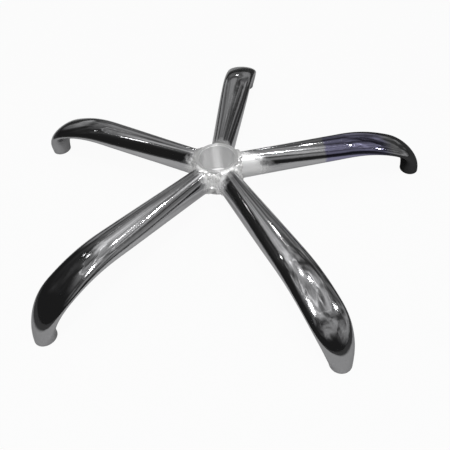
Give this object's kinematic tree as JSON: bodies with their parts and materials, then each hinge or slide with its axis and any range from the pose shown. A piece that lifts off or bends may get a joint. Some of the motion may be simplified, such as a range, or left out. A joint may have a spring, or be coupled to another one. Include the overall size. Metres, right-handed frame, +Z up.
{
  "type": "office chair five star base",
  "caption": "Polished steel star base for an office chair: oval tube arms welded round a taper-bored hub, flattening outwards and turned down at the tips to take casters.",
  "frame": {"origin": "middle of the hub's top face, on the gas lift's axis", "axes": "+Z up along the gas lift's axis, +X outwards along the first arm, the floor level with the tube mouths"},
  "size_m": [0.57, 0.598, 0.0855],
  "materials": {
    "hub_steel": "plated outside, bare machined bore",
    "bright_plate": "polished bright plating",
    "bead_plate": "plated over an as-welded bead",
    "socket_plastic": "moulded, matt black"
  },
  "bodies": {
    "root": {"hub": "hub_steel", "arm_1": "bright_plate", "weld_1": "bead_plate", "caster_socket_1": "socket_plastic", "arm_2": "bright_plate", "weld_2": "bead_plate", "caster_socket_2": "socket_plastic", "arm_3": "bright_plate", "weld_3": "bead_plate", "caster_socket_3": "socket_plastic", "arm_4": "bright_plate", "weld_4": "bead_plate", "caster_socket_4": "socket_plastic", "arm_5": "bright_plate", "weld_5": "bead_plate", "caster_socket_5": "socket_plastic"}
  },
  "joints": []
}
